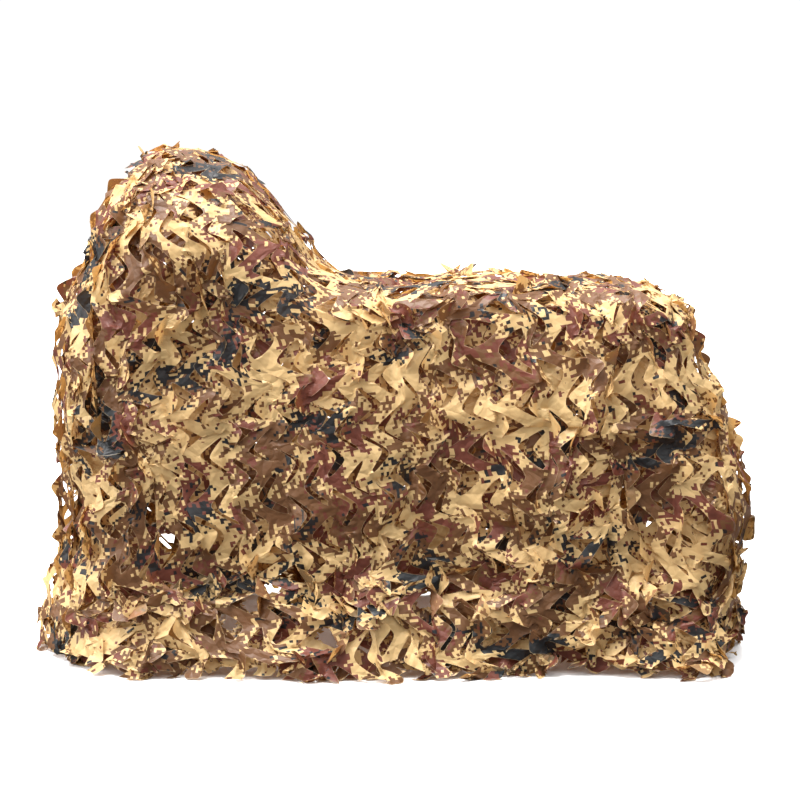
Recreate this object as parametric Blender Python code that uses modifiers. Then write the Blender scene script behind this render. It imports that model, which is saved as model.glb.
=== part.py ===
"""A leaf-cut camouflage net, draped over something long and low with a tall left end.

The cloth is one thin sheet in the form in which it hangs: a long level top, a rounded hump at the
left, walls that flare to the floor, and a hem whose leaf points lie on the floor. It is hollow and
open below. Metres, +Z up. X runs along the length, -Y is the front. The origin is on the floor,
under the middle of the drape.
"""

import math

import bmesh
import bpy
import numpy as np

# Sizes of the cloth
CLOTH_THICK = 0.003
HEM_REACH = 0.020       # how far the hem turns out on the floor
LEAF_POINT = 0.022      # how much further its leaf points reach
SHOULDER_ROUND = 0.075  # radius where the top turns down into the walls
CRUMPLE = 0.004         # uneven lie of the leaves

# The outline in plan at some heights: share of the way up to the shoulder, the four sides, and the
# radius of the corners at each end.
WALL = (
    # share,  left,   right,  front,  back,  left corners, right corners
    (0.00, -0.648, 0.646, -0.345, 0.345, 0.240, 0.150),
    (0.12, -0.650, 0.636, -0.336, 0.338, 0.225, 0.145),
    (0.30, -0.644, 0.640, -0.329, 0.331, 0.210, 0.140),
    (0.47, -0.642, 0.655, -0.324, 0.326, 0.200, 0.140),
    (0.65, -0.648, 0.630, -0.318, 0.320, 0.185, 0.140),
    (0.80, -0.650, 0.600, -0.310, 0.312, 0.170, 0.140),
    (1.00, -0.592, 0.562, -0.292, 0.292, 0.150, 0.140),
)

# The line along the middle of the top: the hump, then the long level part.
TOP_LINE = (
    # x,     height
    (-0.66, 0.800),
    (-0.60, 0.868),
    (-0.53, 0.925),
    (-0.43, 0.953),
    (-0.34, 0.930),
    (-0.26, 0.868),
    (-0.18, 0.770),
    (-0.10, 0.716),
    (0.05, 0.703),
    (0.22, 0.710),
    (0.36, 0.698),
    (0.50, 0.700),
    (0.62, 0.675),
)
LEVEL_TOP = 0.700      # height of the long part, above which the hump rises
HUMP_FALL = 0.55       # share of the hump's rise that is lost at its front and back edges
CROWN = 0.010          # how much the level part falls at its front and back edges

# Main folds and hollows of the walls. "along" is X on the front and back and Y on the two ends.
FOLDS = (
    # side,   along, height, half width, half height, out
    ("front", -0.50, 0.22, 0.060, 0.30, 0.018),
    ("front", -0.40, 0.58, 0.075, 0.09, -0.026),
    ("front", -0.35, 0.20, 0.070, 0.24, -0.016),
    ("front", -0.15, 0.25, 0.075, 0.26, 0.016),
    ("front", -0.20, 0.66, 0.110, 0.08, -0.012),
    ("front", 0.07, 0.18, 0.070, 0.22, -0.017),
    ("front", 0.12, 0.56, 0.080, 0.09, -0.012),
    ("front", 0.27, 0.22, 0.080, 0.26, 0.015),
    ("front", 0.43, 0.26, 0.055, 0.26, -0.018),
    ("front", 0.56, 0.24, 0.055, 0.30, 0.018),
    ("right", -0.14, 0.28, 0.050, 0.24, -0.016),
    ("right", 0.00, 0.30, 0.060, 0.20, 0.015),
    ("right", 0.15, 0.22, 0.050, 0.24, -0.015),
    ("back", 0.50, 0.24, 0.070, 0.28, 0.017),
    ("back", 0.34, 0.20, 0.060, 0.24, -0.018),
    ("back", 0.15, 0.24, 0.080, 0.26, 0.014),
    ("back", -0.04, 0.22, 0.070, 0.24, -0.018),
    ("back", -0.25, 0.26, 0.080, 0.30, 0.016),
    ("back", -0.43, 0.30, 0.070, 0.32, -0.020),
    ("left", 0.15, 0.30, 0.055, 0.32, 0.016),
    ("left", 0.02, 0.24, 0.050, 0.28, -0.018),
    ("left", -0.13, 0.30, 0.055, 0.34, 0.014),
)

# Soft dips and rises of the top.
SAGS = (
    # x,     y,     radius, rise
    (0.02, 0.02, 0.12, -0.012),
    (0.24, -0.12, 0.09, 0.008),
    (0.34, 0.10, 0.12, -0.012),
    (0.46, -0.06, 0.09, 0.006),
    (-0.40, -0.16, 0.09, -0.010),
)

# The largest gaps between leaves, each one open cell of the sheet.
GAPS = (
    # side,   along, height
    ("front", -0.43, 0.235),
    ("front", -0.41, 0.155),
    ("front", -0.30, 0.127),
    ("front", -0.48, 0.315),
    ("front", 0.02, 0.155),
    ("front", 0.40, 0.330),
    ("right", -0.08, 0.330),
    ("right", 0.09, 0.230),
    ("left", -0.06, 0.290),
    ("back", 0.36, 0.240),
    ("back", 0.04, 0.330),
    ("back", -0.34, 0.200),
)
GAP_RIM = 0.007        # cloth left round a gap inside its cell

# How finely the sheet is sampled
LONG_STEPS = 24        # along the front, and along the back
CORNER_STEPS = 6
END_STEPS = 8
WALL_RINGS = 12
SHOULDER_RINGS = 3
TOP_RINGS = 5
SPINE_SHORT = 0.35     # how much shorter the line where the top's rings meet is than the top
MEET = 0.0001          # points this near on that line are one


def through(table, column, at):
    """A smooth curve through one column of a table whose first column is the place."""
    places = np.array([row[0] for row in table])
    values = np.array([row[column] for row in table])
    slopes = np.gradient(values, places)
    at = np.clip(at, places[0], places[-1])
    i = np.clip(np.searchsorted(places, at) - 1, 0, len(places) - 2)
    step = places[i + 1] - places[i]
    t = (at - places[i]) / step
    return (
        (2 * t**3 - 3 * t**2 + 1) * values[i]
        + (t**3 - 2 * t**2 + t) * step * slopes[i]
        + (3 * t**2 - 2 * t**3) * values[i + 1]
        + (t**3 - t**2) * step * slopes[i + 1]
    )


def outline(left, right, front, back, left_round, right_round):
    """Points round a rectangle with round corners from its front left, and their outward normals."""
    corners = (
        (right - right_round, front + right_round, right_round, -90),
        (right - right_round, back - right_round, right_round, 0),
        (left + left_round, back - left_round, left_round, 90),
        (left + left_round, front + left_round, left_round, 180),
    )
    points, normals = [], []
    for side, (x, y, radius, turn) in enumerate(corners):
        before_x, before_y, before_radius, _ = corners[side - 1]
        out = math.radians(turn)
        start = (before_x + before_radius * math.cos(out), before_y + before_radius * math.sin(out))
        end = (x + radius * math.cos(out), y + radius * math.sin(out))
        steps = (LONG_STEPS, END_STEPS)[side % 2]
        for k in range(steps):
            share = k / steps
            points.append([a + (b - a) * share for a, b in zip(start, end)])
            normals.append((math.cos(out), math.sin(out)))
        for k in range(CORNER_STEPS):
            a = out + math.radians(90) * k / CORNER_STEPS
            points.append((x + radius * math.cos(a), y + radius * math.sin(a)))
            normals.append((math.cos(a), math.sin(a)))
    return np.array(points), np.array(normals)


def top_height(x, y, half_depth):
    """Height of the top at a place in plan."""
    line = through(TOP_LINE, 1, x)
    across = np.clip(np.abs(y) / half_depth, 0, 1)
    hump = np.maximum(line - LEVEL_TOP, 0) * HUMP_FALL * across**2.2
    height = line - hump - CROWN * across**2
    for sag_x, sag_y, radius, rise in SAGS:
        height = height + rise * np.exp(-((x - sag_x) ** 2 + (y - sag_y) ** 2) / radius**2)
    return height


def fold_out(points, normals, heights):
    """How far the folds push each point of a wall out."""
    out = np.zeros(len(points))
    facing = {
        "front": (0, (0, -1)),
        "right": (1, (1, 0)),
        "back": (0, (0, 1)),
        "left": (1, (-1, 0)),
    }
    for side, along, height, half_width, half_height, reach in FOLDS:
        axis, way = facing[side]
        faces = np.clip(normals @ np.array(way), 0, 1)
        across = (points[:, axis] - along) / half_width
        up = (heights - height) / half_height
        out += reach * faces * np.exp(-(across**2) - up**2)
    return out


def drape_rings():
    """The rings of the sheet's outer face, from the hem on the floor to the middle of the top."""
    shoulder, shoulder_way = outline(*WALL[-1][1:])
    half_depth = WALL[-1][4]
    turn_down = top_height(shoulder[:, 0], shoulder[:, 1], half_depth) - SHOULDER_ROUND
    rings = []

    floor, way = outline(*WALL[0][1:])
    count = np.arange(len(floor))
    leaf_points = count % 2 * LEAF_POINT * (1 + 0.35 * np.sin(2.3 * count))
    hem = floor + way * (HEM_REACH + leaf_points)[:, None]
    rings.append(np.column_stack([hem, np.full(len(hem), CLOTH_THICK)]))

    for ring in range(WALL_RINGS):
        share = ring / WALL_RINGS
        sizes = [float(through(WALL, column, share)) for column in range(1, len(WALL[0]))]
        points, way = outline(*sizes)
        heights = CLOTH_THICK + share * (turn_down - CLOTH_THICK)
        points = points + way * fold_out(points, way, heights)[:, None] * min(1, 4 * share)
        rings.append(np.column_stack([points, heights]))

    for ring in range(SHOULDER_RINGS):
        angle = math.radians(90) * ring / SHOULDER_RINGS
        inset = SHOULDER_ROUND * (1 - math.cos(angle))
        points = shoulder - shoulder_way * inset
        drop = SHOULDER_ROUND * (1 - math.sin(angle))
        heights = top_height(points[:, 0], points[:, 1], half_depth) - drop
        rings.append(np.column_stack([points, heights]))

    rim = shoulder - shoulder_way * SHOULDER_ROUND
    for ring in range(TOP_RINGS + 1):
        share = ring / TOP_RINGS
        points = rim * (1 - SPINE_SHORT * share, 1 - share)
        heights = top_height(points[:, 0], points[:, 1], half_depth)
        rings.append(np.column_stack([points, heights]))
    return rings, way


def crumpled(rings, way):
    """The rings with the small unevenness of the leaves, except on the floor."""
    for k, ring in enumerate(rings[2:], start=2):
        x, y, z = ring.T
        wave = np.sin(47 * x + 19 * z) * np.sin(41 * z + 33 * y) + np.sin(83 * x - 61 * y + 71 * z) / 2
        if k <= WALL_RINGS:
            ring[:, :2] += way * (CRUMPLE * wave)[:, None]
        else:
            ring[:, 2] += CRUMPLE * wave
    return rings


def sheet_mesh(rings):
    """The outer face of the sheet as an open mesh, closed along the middle of the top."""
    mesh = bmesh.new()
    rows = [[mesh.verts.new(point) for point in ring] for ring in rings]
    around = len(rows[0])
    for low, high in zip(rows, rows[1:]):
        for i in range(around):
            j = (i + 1) % around
            mesh.faces.new((low[i], low[j], high[j], high[i]))
    bmesh.ops.remove_doubles(mesh, verts=rows[-1], dist=MEET)
    return mesh


def gap_place(side, along, height):
    """A point well outside the wall, level with the gap, and the axis it looks along."""
    return {
        "front": (along, WALL[3][3], height),
        "back": (along, WALL[3][4], height),
        "right": (WALL[3][2], along, height),
        "left": (WALL[3][1], along, height),
    }[side]


def open_gaps(mesh):
    """Open one cell of the sheet at each of the largest gaps."""
    mesh.normal_update()
    mesh.faces.ensure_lookup_table()
    cells = np.array([face.calc_center_median() for face in mesh.faces])
    chosen = []
    for side, along, height in GAPS:
        away = np.linalg.norm(cells - np.array(gap_place(side, along, height)), axis=1)
        chosen.append(mesh.faces[int(np.argmin(away))])
    bmesh.ops.inset_individual(mesh, faces=chosen, thickness=GAP_RIM)
    bmesh.ops.delete(mesh, geom=chosen, context="FACES")


def thickened(sheet):
    """The sheet with its thickness, and its hem flat on the floor."""
    wall = sheet.modifiers.new("thickness", "SOLIDIFY")
    wall.thickness = CLOTH_THICK
    wall.offset = -1
    wall.use_even_offset = True
    evaluated = sheet.evaluated_get(bpy.context.evaluated_depsgraph_get())
    solid = bpy.data.meshes.new_from_object(evaluated)
    sheet.modifiers.clear()
    for vertex in solid.vertices:
        if vertex.co.z < CLOTH_THICK * 0.75:
            vertex.co.z = 0
    sheet.data = solid


def cloth_material():
    material = bpy.data.materials.new("desert_print_cloth")
    material.use_nodes = True
    shader = material.node_tree.nodes["Principled BSDF"]
    shader.inputs["Base Color"].default_value = (0.50, 0.36, 0.19, 1)
    shader.inputs["Roughness"].default_value = 0.55
    shader.inputs["Metallic"].default_value = 0
    material.diffuse_color = (0.50, 0.36, 0.19, 1)
    return material


def main():
    for old in list(bpy.data.objects):
        bpy.data.objects.remove(old, do_unlink=True)
    pieces = bpy.data.collections.new("camouflage_netting")
    bpy.context.scene.collection.children.link(pieces)

    mesh = sheet_mesh(crumpled(*drape_rings()))
    open_gaps(mesh)
    data = bpy.data.meshes.new("net_cloth")
    mesh.to_mesh(data)
    mesh.free()
    net = bpy.data.objects.new("net_cloth", data)
    pieces.objects.link(net)
    thickened(net)
    net.data.materials.clear()
    net.data.materials.append(cloth_material())


main()
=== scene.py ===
"""A leaf-cut camouflage net, draped double over a long low thing with a tall end.

The net is made as a maker makes it: a flat cloth with rows of rounded chevron cuts. It is laid over
the drape of the CAD solid, held at the bridges between its cuts, and left to relax, so that its
leaves stand out, droop and open the cuts. Metres, +Z up, -Y is the front.
"""

import math

import bpy
import numpy as np
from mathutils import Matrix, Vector
from mathutils.bvhtree import BVHTree


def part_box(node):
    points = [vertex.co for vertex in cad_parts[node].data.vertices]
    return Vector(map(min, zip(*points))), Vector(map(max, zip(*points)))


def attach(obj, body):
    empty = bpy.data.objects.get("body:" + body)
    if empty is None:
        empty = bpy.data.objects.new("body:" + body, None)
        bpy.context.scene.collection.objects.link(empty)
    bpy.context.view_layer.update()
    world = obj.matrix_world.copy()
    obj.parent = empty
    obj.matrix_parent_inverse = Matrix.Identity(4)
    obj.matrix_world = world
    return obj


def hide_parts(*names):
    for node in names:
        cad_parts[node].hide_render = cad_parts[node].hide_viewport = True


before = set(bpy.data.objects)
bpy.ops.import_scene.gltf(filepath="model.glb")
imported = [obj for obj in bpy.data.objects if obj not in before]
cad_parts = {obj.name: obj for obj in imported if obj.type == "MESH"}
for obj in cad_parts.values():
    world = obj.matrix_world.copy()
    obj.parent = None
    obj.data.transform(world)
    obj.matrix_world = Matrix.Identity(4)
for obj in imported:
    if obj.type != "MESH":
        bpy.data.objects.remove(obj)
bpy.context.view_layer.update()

# ---- Sizes ----

# The cut cloth, flat
STRIP = 0.033           # from one row of cuts to the next
REPEAT = 0.087          # from one cut to the next along its row
ZIGZAG = 0.050          # how far a row swings from side to side
CUT_SHARE = 0.80        # share of the repeat that a cut takes, the rest is the bridge
ROUNDING = 0.930        # of the bends, 1 is sharp
ROW_TILT = math.radians(11)  # the rows lean left as they rise
RAGGED = 0.036          # how much the strips differ in length at the hem

# The wall flares out to its hem, and the hem's tips lie on the floor
HEM_FLARE = (
    # out from the wall, height
    (0.064, 0.004), (0.057, 0.008), (0.051, 0.017), (0.047, 0.028), (0.043, 0.040), (0.036, 0.055),
    (0.027, 0.075), (0.017, 0.098), (0.008, 0.120), (0.002, 0.143),
)
HEM_REACH = max(out for out, _ in HEM_FLARE)
LEAST_FLARE = 0.05      # share of the flare left where the hem is drawn in furthest
ABOVE_FLARE = 0.006     # from the top of the flare to the wall's own first point
FLARE_STEPS = np.linalg.norm(np.diff(HEM_FLARE, axis=0), axis=1)

# How the drape is sampled
STEP_ROUND = 0.02
STEP_UP = 0.01
SHOULDER_STEPS = 4      # steps up over which a wall is seen to turn into the top
WALL_FOOT = 0.02        # height of the lowest place sampled on a wall
OUTSIDE = 0.7           # from a wall's station to a place clear of the net
ABOVE_TOP = 0.3
SMOOTHINGS = 3
END_FLAP = 0.10         # how far the end walls' cloth runs in under the top's cloth
LAP = 0.075             # how far it laps over the back's cloth round each back corner
LAYER_GAP = 0.020       # between cloths that lap
LAP_RISE = 0.03         # the run over which a cloth comes up to lap another
WALL_INSET = 0.045      # from the frame's box to the wall at its middle height
FACE_INSET = 0.02       # and this much more at the front and the back
LEFT_ROUND = 0.20
RIGHT_ROUND = 0.22
LEFT_ARC = LEFT_ROUND * math.pi / 4      # half of a rounded corner
RIGHT_ARC = RIGHT_ROUND * math.pi / 4
LEFT_TURN = 0.126       # from the front left corner's middle to where its wall turns away
RIGHT_TURN = 0.137
CORNER_REACH = 0.12     # how far along the walls a front corner is felt

# How the cloth relaxes
DROOP = 0.00002         # what its weight adds in one round
LINKS = {"sides": 1.0, "diagonals": 0.55, "bends": 0.10, "leaf bends": 0.32}  # stiffness
EASING = 1.7            # share of the links' pull that a point follows, shared among them
BRIDGE_HOLD = 0.20      # share of its way home that a bridge goes in one round
PLATE_PULL, LEAF_PULL = 0.22, 0.55       # the same, to its own shape
PLATE_EVERY = 4         # rounds
SWAY, LATE_SWAY, LATE = 0.75, 0.3, 0.75  # movement kept, and from which share of the rounds
STRAY = 0.075           # the furthest that a point may be from its place
SUNK = 0.007            # how far inside its own layer it may be
HIGHEST = 0.040         # how far outside the drape
FLOOR_GAP = 0.002

FRONT_SHARE = 0.475     # of a column of the outer cloth that is in its front piece
TORN = 3.5              # a cell with a side stretched to this many times its length is left out
CREASE_ANGLE = math.radians(17)      # a fold sharper than this is a crease

SEEDS = {"rumples": 77, "hem": 91, "lumps": 31, "small lumps": 37, "foot": 41, "tips": 53}

# The camera
EYE = (-0.004, -4.15, 0.95)
LOOK_DOWN = 6.67        # degrees
LENS, SENSOR = 96, 36   # millimetres


def waves(x, y, length, seed, count=9):
    """Smooth unevenness between about -1 and 1, with waves of about one length."""
    random = np.random.default_rng(seed)
    total = 0 * x
    for _ in range(count):
        turn = random.uniform(0, math.pi)
        pace = 2 * math.pi / (length * random.uniform(0.75, 1.4))
        phase = random.uniform(0, 2 * math.pi)
        total = total + np.cos(pace * (x * math.cos(turn) + y * math.sin(turn)) + phase)
    return total / math.sqrt(count)


def bell(distance, reach):
    """1 at no distance, falling smoothly away over about the reach."""
    return np.exp(-((distance / reach) ** 2))


# ---- How the net lies ----

# How far in the hem lies along the front
HEM_IN = (
    # across the front, how far in
    (-0.76, 0.020), (-0.70, 0.050), (-0.63, 0.040), (-0.59, 0.012), (-0.55, 0.000), (-0.47, 0.004),
    (-0.38, 0.036), (-0.33, 0.020), (-0.28, 0.000), (-0.02, 0.000), (0.02, 0.008), (0.06, 0.022),
    (0.105, 0.006), (0.15, 0.032), (0.20, 0.026), (0.24, 0.055), (0.28, 0.078), (0.37, 0.070),
    (0.415, 0.020), (0.45, 0.000), (0.565, 0.000), (0.60, 0.050), (0.70, 0.055), (0.90, 0.055),
    (1.04, 0.040),
)
ON_FLOOR = 0.055        # a hem that lies further in than this is raised off the floor
FRONT_MIDDLE = 0.609    # the middle of the front, as a place round the walls
FRONT_PLACES = (-0.15, 1.66)     # from where to where round the walls the table holds
FRONT_FADE = 0.08       # the run over which the table gives way to the other walls' hem
TO_BACK = 1.7           # the back's hem goes in and out as at places this much further on

# Where the net lies in from the solid's outline, or out from it
LEFT_IN = (
    # height, how far in at the front left corner
    (0.03, -0.020), (0.085, -0.020), (0.12, -0.004), (0.155, -0.004), (0.19, 0.008),
    (0.25, 0.018), (0.31, 0.020), (0.36, 0.012), (0.42, 0.004), (0.50, 0.005), (0.60, 0.010),
    (0.70, 0.010), (0.75, 0.016), (0.80, 0.022), (0.85, 0.022), (0.94, 0.030),
)
RIGHT_IN = (
    # height, how far in at the front right corner
    (0.03, 0.000), (0.10, 0.002), (0.135, 0.038), (0.165, 0.004), (0.19, 0.004), (0.225, 0.014),
    (0.26, 0.006), (0.30, 0.000), (0.36, 0.000), (0.40, 0.014), (0.45, 0.026), (0.49, 0.028),
    (0.53, 0.020), (0.60, 0.022), (0.67, 0.030),
)
TOP_DOWN = (
    # along the net, how far down its top lies
    (-0.65, 0.045), (-0.60, 0.032), (-0.56, 0.030), (-0.52, 0.016), (-0.49, 0.002),
    (-0.45, -0.004), (-0.40, -0.010), (-0.35, -0.010), (-0.30, -0.022), (-0.25, -0.010),
    (-0.21, 0.004), (-0.175, 0.055), (-0.15, 0.050), (-0.13, 0.022), (-0.09, 0.006),
    (-0.05, 0.000), (0.05, 0.000), (0.09, -0.009), (0.18, -0.007), (0.215, 0.006), (0.27, 0.002),
    (0.40, 0.000), (0.46, 0.018), (0.52, 0.026), (0.57, 0.034), (0.61, 0.050), (0.66, 0.070),
)
TOP_FROM, TOP_FULL = 0.4, 0.1        # height where the top starts to count, and rise to its full

# The front corners of the hem are cut off
HEM_CORNERS = (
    # place past the front's end, way along the front, how far
    (-0.02, 1, 0.012),
    (0.02, -1, 0.044),
)
CORNER_TOP, CORNER_FADE = 0.10, 0.08
CORNER_WIDTH = 0.07
CORNER_BACK = 0.25      # share of the move along the front that also goes back

# Where a leaf has folded right back and left a gap through both cloths
PARTED = (
    (-0.43, -0.33, 0.235), (-0.415, -0.33, 0.172), (-0.30, -0.33, 0.127), (-0.48, -0.33, 0.315),
    (0.02, -0.33, 0.155), (0.40, -0.33, 0.330), (0.645, -0.08, 0.330), (0.645, 0.09, 0.230),
    (-0.645, -0.06, 0.290), (0.36, 0.33, 0.240), (0.04, 0.33, 0.330), (-0.34, 0.33, 0.200),
    (-0.60, -0.22, 0.270), (-0.325, -0.34, 0.100), (-0.272, -0.34, 0.090), (-0.236, -0.33, 0.145),
    (-0.186, -0.33, 0.178), (-0.259, -0.33, 0.213), (-0.173, -0.34, 0.095),
    (-0.390, -0.33, 0.150),
)
SEEN_THROUGH = 2        # seen from the camera, the first gaps go on through the back
BACK_WALL = 0.33
PARTED_CURL = 2.9       # radians
PARTED_HINGE = 0.05
OPENED = 0.021          # how far round such a gap the cloth beneath is open
OPENED_DEEP = 0.08

# How leaves curl
CURL_SHARES = (0.45, 0.65, 0.88)         # share of the leaves that have each curl or one before
CURL_DEGREES = (85, -60, 130, 170)
SHARP_CURL = 1.0        # radians, a curl past this lies down more where the net is calm
HINGES = (0.02, 0.05, 0.12, 0.35)        # where a leaf folds, as a share of its length
SLANT = 0.30            # how far that fold may lean
BOW = 0.0022
BEND = 0.0055           # length of cloth in the fold itself


def set_in(points, out, left_corner, right_corner):
    """The points moved to where the net lies in from the solid's outline, or out from it."""
    x, _, z = points.T
    left = np.interp(z, *np.array(LEFT_IN).T) * left_corner
    right = np.interp(z, *np.array(RIGHT_IN).T) * right_corner
    on_top = np.clip(out[:, 2], 0, 1) * np.clip((z - TOP_FROM) / TOP_FULL, 0, 1)
    down = np.interp(x, *np.array(TOP_DOWN).T) * on_top
    return points + np.column_stack([left - right, 0 * x, -down])


def hem_in(p):
    """How far in the hem lies at a place round the walls."""
    x, depth = np.array(HEM_IN).T
    front = np.interp(p, x + FRONT_MIDDLE, depth)
    rest = np.clip(0.024 + 0.022 * waves(p, p * 0, 0.33, SEEDS["hem"]), 0, 0.05)
    first, last = FRONT_PLACES
    share = np.clip(np.minimum(p - first, last - p) / FRONT_FADE, 0, 1)
    return front * share + rest * (1 - share)


def rough_at(p, q):
    """How rumpled the net lies at a place, from 0 to 1: calm in front, wild at hem and edges."""
    calm = np.exp(-(((p - 0.44) / 0.36) ** 2) - (((q - 0.40) / 0.21) ** 2))
    rough = 0.80 + 0.30 * waves(p, q, 0.45, SEEDS["rumples"])
    rough = np.maximum(rough, 1.1 - np.abs(q) / 0.17)
    return np.clip(rough * (1 - 0.85 * calm), 0, 1)


# ---- The drape, sampled from the CAD solid ----

class Drape:
    """The outer face of the drape, by place round the walls and distance up the cloth."""

    def __init__(self, solid):
        graph = bpy.context.evaluated_depsgraph_get()
        self.tree = BVHTree.FromObject(solid, graph)
        low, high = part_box("net_cloth")
        self.left, self.right = low.x + WALL_INSET, high.x - WALL_INSET
        self.front = low.y + WALL_INSET + FACE_INSET
        self.back = high.y - WALL_INSET - FACE_INSET
        self.top = high.z
        long_run = self.right - RIGHT_ROUND - self.left - LEFT_ROUND
        self.over_length = LEFT_ARC + long_run + RIGHT_ARC
        right_run = self.back - self.front - 2 * RIGHT_ROUND
        left_run = self.back - self.front - 2 * LEFT_ROUND
        self.right_length = 2 * RIGHT_ARC + right_run
        self.left_length = 2 * LEFT_ARC + left_run
        self.first_place = -self.left_length - LAP
        self.last_place = self.over_length + self.right_length + LAP
        self.parts = {
            "left": self.sample(self.first_place, 0, self.end_path),
            "over": self.sample(0, self.over_length, self.over_path),
            "right": self.sample(self.over_length, self.last_place, self.end_path),
        }

    def station(self, p):
        """A point inside the walls and the way out from it, for a place round the walls."""
        corner_left = self.left + LEFT_ROUND
        corner_right = self.right - RIGHT_ROUND
        front_left = (corner_left, self.front + LEFT_ROUND)
        front_right = (corner_right, self.front + RIGHT_ROUND)
        back_right = (corner_right, self.back - RIGHT_ROUND)
        back_left = (corner_left, self.back - LEFT_ROUND)
        runs = (
            # length, from, to, first angle, last angle
            (LEFT_ARC, back_left, back_left, 90, 135),
            (LEFT_ARC, back_left, back_left, 135, 180),
            (self.left_length - 2 * LEFT_ARC, back_left, front_left, 180, 180),
            (LEFT_ARC, front_left, front_left, 180, 225),
            (LEFT_ARC, front_left, front_left, -135, -90),
            (self.over_length - LEFT_ARC - RIGHT_ARC, front_left, front_right, -90, -90),
            (RIGHT_ARC, front_right, front_right, -90, -45),
            (RIGHT_ARC, front_right, front_right, -45, 0),
            (self.right_length - 2 * RIGHT_ARC, front_right, back_right, 0, 0),
            (RIGHT_ARC, back_right, back_right, 0, 45),
            (RIGHT_ARC, back_right, back_right, 45, 90),
        )
        at = p + self.left_length + LEFT_ARC
        for length, start, end, first, last in runs:
            if at <= length + 1e-6:
                share = min(max(at / length, 0), 1)
                turn = math.radians(first + (last - first) * share)
                return (
                    Vector([a + (b - a) * share for a, b in zip(start, end)]),
                    Vector((math.cos(turn), math.sin(turn))),
                )
            at -= length

    def wall_path(self, origin, way, drawn_in):
        """Points up a wall from the hem until it turns over into the top."""
        points, reaches = [], []
        for height in np.arange(WALL_FOOT, self.top, STEP_UP):
            start = Vector((*(origin + way * OUTSIDE), height))
            hit = self.tree.ray_cast(start, Vector((-way.x, -way.y, 0)))[0]
            reach = (hit.xy - origin).dot(way) if hit else -1
            if reach > 0:
                points.append(np.array(hit))
                reaches.append((reach, height))
        shoulder = len(points) - 1
        while shoulder > SHOULDER_STEPS:
            (inner, upper), (outer, lower) = reaches[shoulder], reaches[shoulder - SHOULDER_STEPS]
            if outer - inner < upper - lower:
                break
            shoulder -= 1
        share = max(1 - drawn_in / HEM_REACH, LEAST_FLARE)
        x, y, z = np.array(points).T
        hem = []
        for out, height in HEM_FLARE:
            wall = np.array((np.interp(height, z, x), np.interp(height, z, y)))
            hem.append(np.array((*(wall + np.array(way) * out * share), height)))
        return hem + [point for point in points[: shoulder - 1] if point[2] > height + ABOVE_FLARE]

    def top_path(self, start, end):
        """Points over the top between two places in plan."""
        steps = max(2, int(math.dist(start, end) / STEP_UP))
        points = []
        for k in range(1, steps):
            x, y = np.array(start) + (np.array(end) - np.array(start)) * k / steps
            above = Vector((x, y, self.top + ABOVE_TOP))
            hit = self.tree.ray_cast(above, Vector((0, 0, -1)))[0]
            if hit:
                points.append(np.array(hit))
        return points

    def over_path(self, p):
        """Points up the front, over the top and down the back, and how many are on the front."""
        origin, way = self.station(p)
        front = self.wall_path(origin, way, hem_in(p))
        behind = Vector((origin.x, -origin.y)), Vector((way.x, -way.y))
        back = self.wall_path(*behind, hem_in(p + TO_BACK))
        return front + self.top_path(front[-1][:2], back[-1][:2]) + back[::-1], len(front)

    def end_path(self, p):
        """Points up an end wall and in under the top's cloth, and how many are on the wall."""
        origin, way = self.station(p)
        wall = self.wall_path(origin, way, hem_in(p))
        edge = wall[-1][:2]
        # less runs in round the corners, where it would gather at the corner's centre
        turned = min(4 * abs(way.x * way.y), 1)
        to_centre = (edge - np.array(origin)).dot(np.array(way))
        flap = END_FLAP * (1 - turned) + to_centre / 2 * turned
        return wall + self.top_path(edge, edge - np.array(way) * flap), len(wall)

    def sample(self, first, last, path):
        """A part of the drape as a grid: columns round the walls, rows up the cloth."""
        columns = np.linspace(first, last, int((last - first) / STEP_ROUND) + 2)
        lines, lengths, shoulders = [], [], []
        for p in columns:
            points, wall = path(p)
            points = np.array(points)
            steps = np.linalg.norm(np.diff(points, axis=0), axis=1)
            steps[:len(FLARE_STEPS)] = FLARE_STEPS   # as much cloth where the hem is drawn in
            if path == self.over_path:
                steps[-len(FLARE_STEPS):] = FLARE_STEPS[::-1]
            along = np.concatenate([[0], np.cumsum(steps)])
            lines.append((along, points))
            lengths.append(along[-1])
            shoulders.append(along[wall - 1])
        rows = np.arange(0, max(lengths) + 2 * STEP_UP, STEP_UP)
        grid = np.array(
            [[np.interp(rows, along, points[:, k]) for k in range(3)] for along, points in lines]
        ).transpose(0, 2, 1)
        for _ in range(SMOOTHINGS):
            grid[1:-1] = (grid[:-2] + 2 * grid[1:-1] + grid[2:]) / 4
            grid[:, 1:-1] = (grid[:, :-2] + 2 * grid[:, 1:-1] + grid[:, 2:]) / 4
        out = np.cross(np.gradient(grid, axis=0), np.gradient(grid, axis=1))
        out /= np.maximum(np.linalg.norm(out, axis=2, keepdims=True), 1e-9)
        return {
            "columns": columns,
            "grid": grid,
            "out": out,
            "lengths": np.array(lengths),
            "shoulders": np.array(shoulders),
        }

    def part_of(self, p):
        """0 for the left end, 1 for front, top and back, 2 for the right end."""
        return np.where(p < 0, 0, np.where(p <= self.over_length, 1, 2))

    def length_at(self, p):
        """How far the cloth reaches up from the hem at a place round the walls."""
        reach = np.zeros(p.shape)
        which = self.part_of(p)
        for k, part in enumerate(self.parts.values()):
            here = which == k
            reach[here] = np.interp(p[here], part["columns"], part["lengths"])
        return reach

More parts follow.
